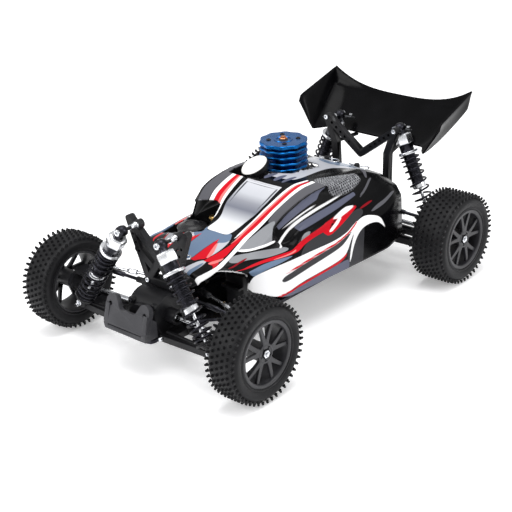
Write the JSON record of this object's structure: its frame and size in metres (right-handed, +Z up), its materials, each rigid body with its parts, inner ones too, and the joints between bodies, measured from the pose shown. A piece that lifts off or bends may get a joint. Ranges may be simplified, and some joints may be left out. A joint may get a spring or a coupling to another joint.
{
  "type": "radio-controlled buggy",
  "caption": "Radio-controlled off-road buggy with coil-over suspension, steering front wheels, a glow engine, a lift-off body shell and a rear wing.",
  "frame": {"origin": "on the ground, under the middle of the overall box", "axes": "+Z up, the nose points to -Y, +X is the car's left side"},
  "size_m": [0.249, 0.3874, 0.1594],
  "materials": {
    "black_plastic": "moulded",
    "blue_anodised": "anodised",
    "bumper_plastic": "moulded",
    "cast_alloy": "cast",
    "damper_alloy": "turned",
    "dark_alloy": "anodised",
    "rim_plastic": "satin",
    "shell_paint": "painted",
    "spring_steel": "blackened",
    "steel": "polished",
    "tank_plastic": "moulded",
    "tyre_rubber": "moulded",
    "wing_plastic": "gloss"
  },
  "bodies": {
    "chassis": {"chassis_plate": "dark_alloy", "front_bumper": "bumper_plastic", "front_gearbox": "black_plastic", "rear_gearbox": "black_plastic", "front_shock_tower": "black_plastic", "rear_shock_tower": "black_plastic", "wing": "wing_plastic", "engine_crankcase": "cast_alloy", "cooling_head": "blue_anodised", "air_filter": "black_plastic", "tuned_pipe": "steel", "fuel_tank": "tank_plastic", "steering_servo": "black_plastic", "radio_box": "black_plastic"},
    "shell": {"body_shell": "shell_paint"},
    "lid": {"tank_lid": "black_plastic"},
    "spur": {"spur_gear": "black_plastic"},
    "clutch": {"clutch_bell": "steel"},
    "bellcrank": {"steering_bellcrank": "black_plastic"},
    "steering_bar": {"steering_link": "dark_alloy"},
    "front_left_arm": {"front_left_lower_arm": "black_plastic"},
    "front_left_link": {"front_left_upper_link": "black_plastic"},
    "front_left_carrier": {"front_left_hub_carrier": "black_plastic"},
    "front_left_axle_shaft": {"front_left_drive_shaft": "steel"},
    "front_left_damper": {"front_left_shock_body": "damper_alloy", "front_left_spring": "spring_steel"},
    "front_left_damper_rod": {"front_left_shock_shaft": "steel"},
    "front_left_wheel": {"front_left_tyre": "tyre_rubber", "front_left_rim": "rim_plastic"},
    "front_left_knuckle_body": {"front_left_knuckle": "black_plastic"},
    "front_left_tie_rod_body": {"front_left_tie_rod": "steel"},
    "front_right_arm": {"front_right_lower_arm": "black_plastic"},
    "front_right_link": {"front_right_upper_link": "black_plastic"},
    "front_right_carrier": {"front_right_hub_carrier": "black_plastic"},
    "front_right_axle_shaft": {"front_right_drive_shaft": "steel"},
    "front_right_damper": {"front_right_shock_body": "damper_alloy", "front_right_spring": "spring_steel"},
    "front_right_damper_rod": {"front_right_shock_shaft": "steel"},
    "front_right_wheel": {"front_right_tyre": "tyre_rubber", "front_right_rim": "rim_plastic"},
    "front_right_knuckle_body": {"front_right_knuckle": "black_plastic"},
    "front_right_tie_rod_body": {"front_right_tie_rod": "steel"},
    "rear_left_arm": {"rear_left_lower_arm": "black_plastic"},
    "rear_left_link": {"rear_left_upper_link": "black_plastic"},
    "rear_left_carrier": {"rear_left_hub_carrier": "black_plastic"},
    "rear_left_axle_shaft": {"rear_left_drive_shaft": "steel"},
    "rear_left_damper": {"rear_left_shock_body": "damper_alloy", "rear_left_spring": "spring_steel"},
    "rear_left_damper_rod": {"rear_left_shock_shaft": "steel"},
    "rear_left_wheel": {"rear_left_tyre": "tyre_rubber", "rear_left_rim": "rim_plastic"},
    "rear_right_arm": {"rear_right_lower_arm": "black_plastic"},
    "rear_right_link": {"rear_right_upper_link": "black_plastic"},
    "rear_right_carrier": {"rear_right_hub_carrier": "black_plastic"},
    "rear_right_axle_shaft": {"rear_right_drive_shaft": "steel"},
    "rear_right_damper": {"rear_right_shock_body": "damper_alloy", "rear_right_spring": "spring_steel"},
    "rear_right_damper_rod": {"rear_right_shock_shaft": "steel"},
    "rear_right_wheel": {"rear_right_tyre": "tyre_rubber", "rear_right_rim": "rim_plastic"}
  },
  "joints": [
    {"name": "shell_lift", "type": "slide", "parent": "chassis", "child": "shell", "axis": [0, 0, 1], "range_m": [0, 0.12]},
    {"name": "tank_lid_hinge", "type": "hinge", "parent": "chassis", "child": "lid", "pos_m": [-0.041, -0.07825, 0.079], "axis": [1, 0, 0], "range_deg": [0, 75]},
    {"name": "spur_spin", "type": "hinge", "parent": "chassis", "child": "spur", "pos_m": [0, -0.01125, 0.045], "axis": [0, 1, 0], "continuous": true},
    {"name": "clutch_spin", "type": "hinge", "parent": "chassis", "child": "clutch", "pos_m": [-0.02, -0.01125, 0.058], "axis": [0, 1, 0], "continuous": true},
    {"name": "steering", "type": "hinge", "parent": "chassis", "child": "bellcrank", "pos_m": [0.011, -0.12575, 0.058], "axis": [0, 0, 1], "range_deg": [-22, 22]},
    {"name": "steering_bar_pivot", "type": "hinge", "parent": "bellcrank", "child": "steering_bar", "pos_m": [0.011, -0.10475, 0.055], "axis": [0, 0, 1], "range_deg": [-22, 22]},
    {"name": "front_left_suspension", "type": "hinge", "parent": "chassis", "child": "front_left_arm", "pos_m": [0.02, -0.15075, 0.03], "axis": [0, -1, 0], "range_deg": [-10, 12], "stiffness_Nm_per_rad": 2.5, "springref_deg": -5.73},
    {"name": "front_left_carrier_pivot", "type": "hinge", "parent": "front_left_arm", "child": "front_left_carrier", "pos_m": [0.088, -0.15075, 0.028], "axis": [0, -1, 0], "range_deg": [-12, 10]},
    {"name": "front_left_link_pivot", "type": "hinge", "parent": "chassis", "child": "front_left_link", "pos_m": [0.022, -0.14015, 0.06], "axis": [0, -1, 0], "range_deg": [-10, 12]},
    {"name": "front_left_axle_shaft_swing", "type": "hinge", "parent": "chassis", "child": "front_left_axle_shaft", "pos_m": [0.022, -0.15075, 0.045], "axis": [0, -1, 0], "range_deg": [-10, 12]},
    {"name": "front_left_damper_pivot", "type": "hinge", "parent": "chassis", "child": "front_left_damper", "pos_m": [0.023, -0.16075, 0.113], "axis": [0, -1, 0], "range_deg": [-3.5, 4]},
    {"name": "front_left_damper_slide", "type": "slide", "parent": "front_left_damper", "child": "front_left_damper_rod", "axis": [0.5732, -0.0584, -0.8173], "range_m": [-0.0125, 0.0105], "deforming": ["front_left_spring"]},
    {"name": "front_left_knuckle_turn", "type": "hinge", "parent": "front_left_carrier", "child": "front_left_knuckle_body", "pos_m": [0.09, -0.15075, 0.043], "axis": [0, 0, 1], "range_deg": [-22, 22]},
    {"name": "front_left_tie_rod_swing", "type": "hinge", "parent": "steering_bar", "child": "front_left_tie_rod_body", "pos_m": [0.022, -0.11775, 0.055], "axis": [0, -1, 0], "range_deg": [-10, 12]},
    {"name": "front_left_wheel_spin", "type": "hinge", "parent": "front_left_knuckle_body", "child": "front_left_wheel", "pos_m": [0.1095, -0.15075, 0.043], "axis": [1, 0, 0], "continuous": true},
    {"name": "front_right_suspension", "type": "hinge", "parent": "chassis", "child": "front_right_arm", "pos_m": [-0.02, -0.15075, 0.03], "axis": [0, 1, 0], "range_deg": [-10, 12], "stiffness_Nm_per_rad": 2.5, "springref_deg": -5.73},
    {"name": "front_right_carrier_pivot", "type": "hinge", "parent": "front_right_arm", "child": "front_right_carrier", "pos_m": [-0.088, -0.15075, 0.028], "axis": [0, 1, 0], "range_deg": [-12, 10]},
    {"name": "front_right_link_pivot", "type": "hinge", "parent": "chassis", "child": "front_right_link", "pos_m": [-0.022, -0.14015, 0.06], "axis": [0, 1, 0], "range_deg": [-10, 12]},
    {"name": "front_right_axle_shaft_swing", "type": "hinge", "parent": "chassis", "child": "front_right_axle_shaft", "pos_m": [-0.022, -0.15075, 0.045], "axis": [0, 1, 0], "range_deg": [-10, 12]},
    {"name": "front_right_damper_pivot", "type": "hinge", "parent": "chassis", "child": "front_right_damper", "pos_m": [-0.023, -0.16075, 0.113], "axis": [0, 1, 0], "range_deg": [-3.5, 4]},
    {"name": "front_right_damper_slide", "type": "slide", "parent": "front_right_damper", "child": "front_right_damper_rod", "axis": [-0.5732, -0.0584, -0.8173], "range_m": [-0.0125, 0.0105], "deforming": ["front_right_spring"]},
    {"name": "front_right_knuckle_turn", "type": "hinge", "parent": "front_right_carrier", "child": "front_right_knuckle_body", "pos_m": [-0.09, -0.15075, 0.043], "axis": [0, 0, 1], "range_deg": [-22, 22]},
    {"name": "front_right_tie_rod_swing", "type": "hinge", "parent": "steering_bar", "child": "front_right_tie_rod_body", "pos_m": [-0.022, -0.11775, 0.055], "axis": [0, 1, 0], "range_deg": [-10, 12]},
    {"name": "front_right_wheel_spin", "type": "hinge", "parent": "front_right_knuckle_body", "child": "front_right_wheel", "pos_m": [-0.1095, -0.15075, 0.043], "axis": [1, 0, 0], "continuous": true},
    {"name": "rear_left_suspension", "type": "hinge", "parent": "chassis", "child": "rear_left_arm", "pos_m": [0.02, 0.12425, 0.03], "axis": [0, -1, 0], "range_deg": [-10, 12], "stiffness_Nm_per_rad": 2.5, "springref_deg": -7.45},
    {"name": "rear_left_carrier_pivot", "type": "hinge", "parent": "rear_left_arm", "child": "rear_left_carrier", "pos_m": [0.088, 0.12425, 0.028], "axis": [0, -1, 0], "range_deg": [-12, 10]},
    {"name": "rear_left_link_pivot", "type": "hinge", "parent": "chassis", "child": "rear_left_link", "pos_m": [0.022, 0.11365, 0.06], "axis": [0, -1, 0], "range_deg": [-10, 12]},
    {"name": "rear_left_axle_shaft_swing", "type": "hinge", "parent": "chassis", "child": "rear_left_axle_shaft", "pos_m": [0.022, 0.12425, 0.045], "axis": [0, -1, 0], "range_deg": [-10, 12]},
    {"name": "rear_left_damper_pivot", "type": "hinge", "parent": "chassis", "child": "rear_left_damper", "pos_m": [0.036, 0.14185, 0.129], "axis": [0, -1, 0], "range_deg": [-3.5, 4]},
    {"name": "rear_left_damper_slide", "type": "slide", "parent": "rear_left_damper", "child": "rear_left_damper_rod", "axis": [0.4098, -0.0215, -0.9119], "range_m": [-0.0125, 0.0105], "deforming": ["rear_left_spring"]},
    {"name": "rear_left_wheel_spin", "type": "hinge", "parent": "rear_left_carrier", "child": "rear_left_wheel", "pos_m": [0.1065, 0.12425, 0.043], "axis": [1, 0, 0], "continuous": true},
    {"name": "rear_right_suspension", "type": "hinge", "parent": "chassis", "child": "rear_right_arm", "pos_m": [-0.02, 0.12425, 0.03], "axis": [0, 1, 0], "range_deg": [-10, 12], "stiffness_Nm_per_rad": 2.5, "springref_deg": -7.45},
    {"name": "rear_right_carrier_pivot", "type": "hinge", "parent": "rear_right_arm", "child": "rear_right_carrier", "pos_m": [-0.088, 0.12425, 0.028], "axis": [0, 1, 0], "range_deg": [-12, 10]},
    {"name": "rear_right_link_pivot", "type": "hinge", "parent": "chassis", "child": "rear_right_link", "pos_m": [-0.022, 0.11365, 0.06], "axis": [0, 1, 0], "range_deg": [-10, 12]},
    {"name": "rear_right_axle_shaft_swing", "type": "hinge", "parent": "chassis", "child": "rear_right_axle_shaft", "pos_m": [-0.022, 0.12425, 0.045], "axis": [0, 1, 0], "range_deg": [-10, 12]},
    {"name": "rear_right_damper_pivot", "type": "hinge", "parent": "chassis", "child": "rear_right_damper", "pos_m": [-0.036, 0.14185, 0.129], "axis": [0, 1, 0], "range_deg": [-3.5, 4]},
    {"name": "rear_right_damper_slide", "type": "slide", "parent": "rear_right_damper", "child": "rear_right_damper_rod", "axis": [-0.4098, -0.0215, -0.9119], "range_m": [-0.0125, 0.0105], "deforming": ["rear_right_spring"]},
    {"name": "rear_right_wheel_spin", "type": "hinge", "parent": "rear_right_carrier", "child": "rear_right_wheel", "pos_m": [-0.1065, 0.12425, 0.043], "axis": [1, 0, 0], "continuous": true}
  ],
  "couplings": [
    {"joint": "clutch_spin", "follows": "spur_spin", "ratio": -2.6667},
    {"joint": "steering_bar_pivot", "follows": "steering", "ratio": -1},
    {"joint": "front_left_carrier_pivot", "follows": "front_left_suspension", "ratio": -1},
    {"joint": "front_left_link_pivot", "follows": "front_left_suspension", "ratio": 1},
    {"joint": "front_left_axle_shaft_swing", "follows": "front_left_suspension", "ratio": 1},
    {"joint": "front_left_damper_pivot", "follows": "front_left_suspension", "ratio": 0.29238},
    {"joint": "front_left_damper_slide", "follows": "front_left_suspension", "m_per_rad": -0.050524},
    {"joint": "front_left_knuckle_turn", "follows": "steering", "ratio": 1},
    {"joint": "front_left_tie_rod_swing", "follows": "front_left_suspension", "ratio": 1},
    {"joint": "front_right_carrier_pivot", "follows": "front_right_suspension", "ratio": -1},
    {"joint": "front_right_link_pivot", "follows": "front_right_suspension", "ratio": 1},
    {"joint": "front_right_axle_shaft_swing", "follows": "front_right_suspension", "ratio": 1},
    {"joint": "front_right_damper_pivot", "follows": "front_right_suspension", "ratio": 0.29238},
    {"joint": "front_right_damper_slide", "follows": "front_right_suspension", "m_per_rad": -0.050524},
    {"joint": "front_right_knuckle_turn", "follows": "steering", "ratio": 1},
    {"joint": "front_right_tie_rod_swing", "follows": "front_right_suspension", "ratio": 1},
    {"joint": "rear_left_carrier_pivot", "follows": "rear_left_suspension", "ratio": -1},
    {"joint": "rear_left_link_pivot", "follows": "rear_left_suspension", "ratio": 1},
    {"joint": "rear_left_axle_shaft_swing", "follows": "rear_left_suspension", "ratio": 1},
    {"joint": "rear_left_damper_pivot", "follows": "rear_left_suspension", "ratio": 0.13436},
    {"joint": "rear_left_damper_slide", "follows": "rear_left_suspension", "m_per_rad": -0.055281},
    {"joint": "rear_right_carrier_pivot", "follows": "rear_right_suspension", "ratio": -1},
    {"joint": "rear_right_link_pivot", "follows": "rear_right_suspension", "ratio": 1},
    {"joint": "rear_right_axle_shaft_swing", "follows": "rear_right_suspension", "ratio": 1},
    {"joint": "rear_right_damper_pivot", "follows": "rear_right_suspension", "ratio": 0.13436},
    {"joint": "rear_right_damper_slide", "follows": "rear_right_suspension", "m_per_rad": -0.055281}
  ]
}
